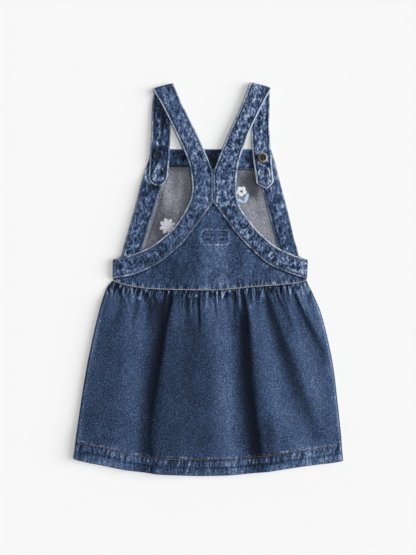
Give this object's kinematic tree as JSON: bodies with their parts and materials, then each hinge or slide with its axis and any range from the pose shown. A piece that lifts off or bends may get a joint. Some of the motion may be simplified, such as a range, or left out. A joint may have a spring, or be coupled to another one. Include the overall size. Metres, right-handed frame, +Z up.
{
  "type": "denim bib overall dress, laid flat",
  "caption": "Child's denim bib overall dress with gathered skirt and buttoned shoulder straps, laid flat on its front with the back up.",
  "frame": {"origin": "middle of the garment's outline, on the surface that it lies on", "axes": "+X to the right as seen from above, +Y from the hem to the shoulders, +Z up from the surface, out of the garment's back"},
  "size_m": [0.3644, 0.5316, 0.0146],
  "materials": {
    "denim": "mid-blue washed denim twill, matte, faded on its ridges",
    "denim_band": "double denim, washed, puckered and mottled, worn almost white on its edges",
    "denim_reverse": "grey reverse of the denim, matte",
    "button_metal": "dull grey-beige metal button with a dark recessed middle",
    "topstitch": "matte sewing thread, brown to pale beige",
    "embroidery": "matte embroidery thread seen from its back, white, pale grey and light blue"
  },
  "bodies": {
    "root": {"skirt_front": "denim_reverse", "skirt_back": "denim", "back_yoke": "denim", "strap_left": "denim_band", "strap_right": "denim_band", "bib_front": "denim_reverse", "bib_top_facing": "denim", "bib_side_band_left": "denim_band", "bib_side_band_right": "denim_band", "button_left": "button_metal", "button_right": "button_metal"}
  },
  "joints": []
}
